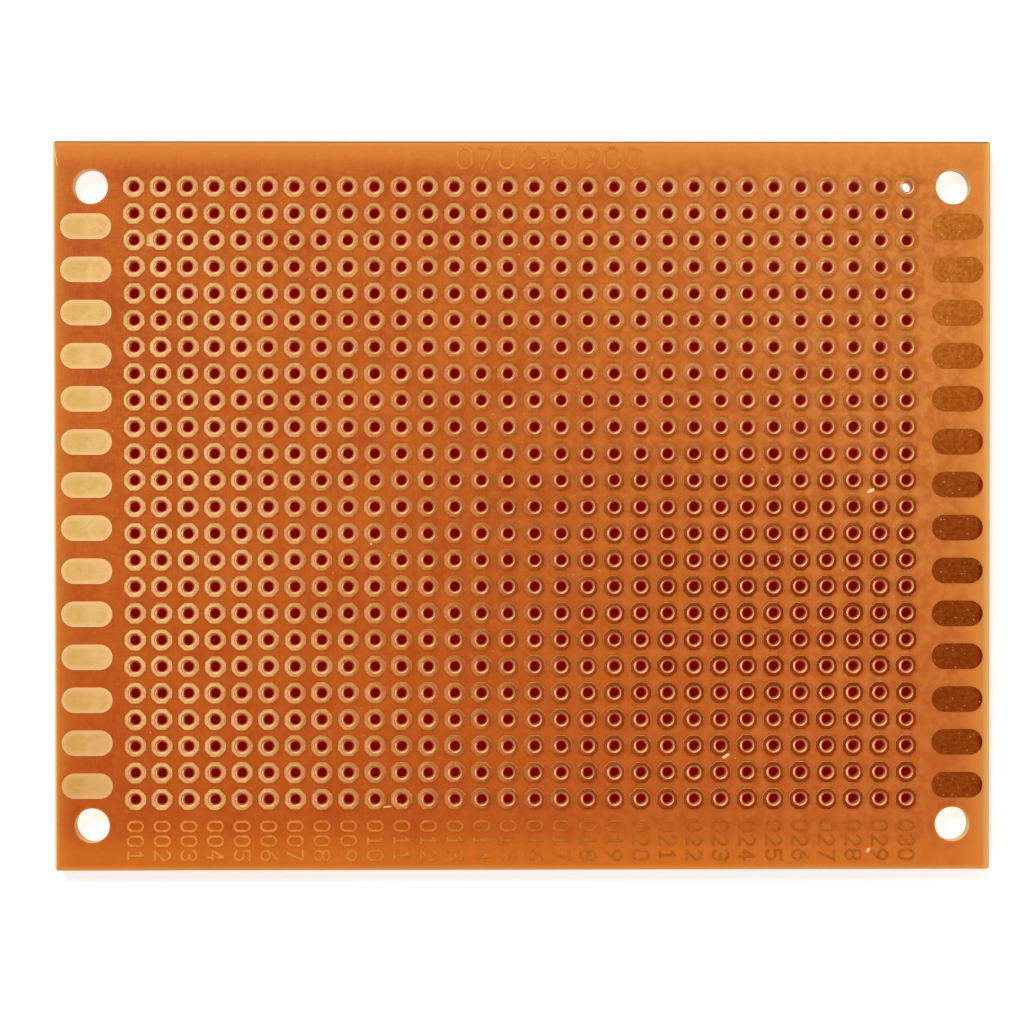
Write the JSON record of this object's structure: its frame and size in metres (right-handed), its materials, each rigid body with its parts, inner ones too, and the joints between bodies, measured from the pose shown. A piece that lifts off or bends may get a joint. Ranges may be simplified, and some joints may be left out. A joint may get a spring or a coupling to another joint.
{
  "type": "prototype board",
  "caption": "Single-sided perforated prototype board of phenolic laminate with octagonal copper pads, end contacts and corner mounting holes.",
  "frame": {"origin": "centre of the laminate's underside", "axes": "+X along the rows of pads towards the highest column number, +Y towards the size mark, +Z out of the copper side"},
  "size_m": [0.0892, 0.0696, 0.0015],
  "materials": {
    "laminate": "satin orange-brown phenolic paper",
    "copper": "bare copper foil under a thin clear coat"
  },
  "bodies": {
    "root": {"laminate_board": "laminate", "pad_row_01": "copper", "pad_row_02": "copper", "pad_row_03": "copper", "pad_row_04": "copper", "pad_row_05": "copper", "pad_row_06": "copper", "pad_row_07": "copper", "pad_row_08": "copper", "pad_row_09": "copper", "pad_row_10": "copper", "pad_row_11": "copper", "pad_row_12": "copper", "pad_row_13": "copper", "pad_row_14": "copper", "pad_row_15": "copper", "pad_row_16": "copper", "pad_row_17": "copper", "pad_row_18": "copper", "pad_row_19": "copper", "pad_row_20": "copper", "pad_row_21": "copper", "pad_row_22": "copper", "pad_row_23": "copper", "pad_row_24": "copper", "left_contact_01": "copper", "left_contact_02": "copper", "left_contact_03": "copper", "left_contact_04": "copper", "left_contact_05": "copper", "left_contact_06": "copper", "left_contact_07": "copper", "left_contact_08": "copper", "left_contact_09": "copper", "left_contact_10": "copper", "left_contact_11": "copper", "left_contact_12": "copper", "left_contact_13": "copper", "left_contact_14": "copper", "right_contact_01": "copper", "right_contact_02": "copper", "right_contact_03": "copper", "right_contact_04": "copper", "right_contact_05": "copper", "right_contact_06": "copper", "right_contact_07": "copper", "right_contact_08": "copper", "right_contact_09": "copper", "right_contact_10": "copper", "right_contact_11": "copper", "right_contact_12": "copper", "right_contact_13": "copper", "right_contact_14": "copper", "column_numbers": "copper", "size_mark": "copper"}
  },
  "joints": []
}
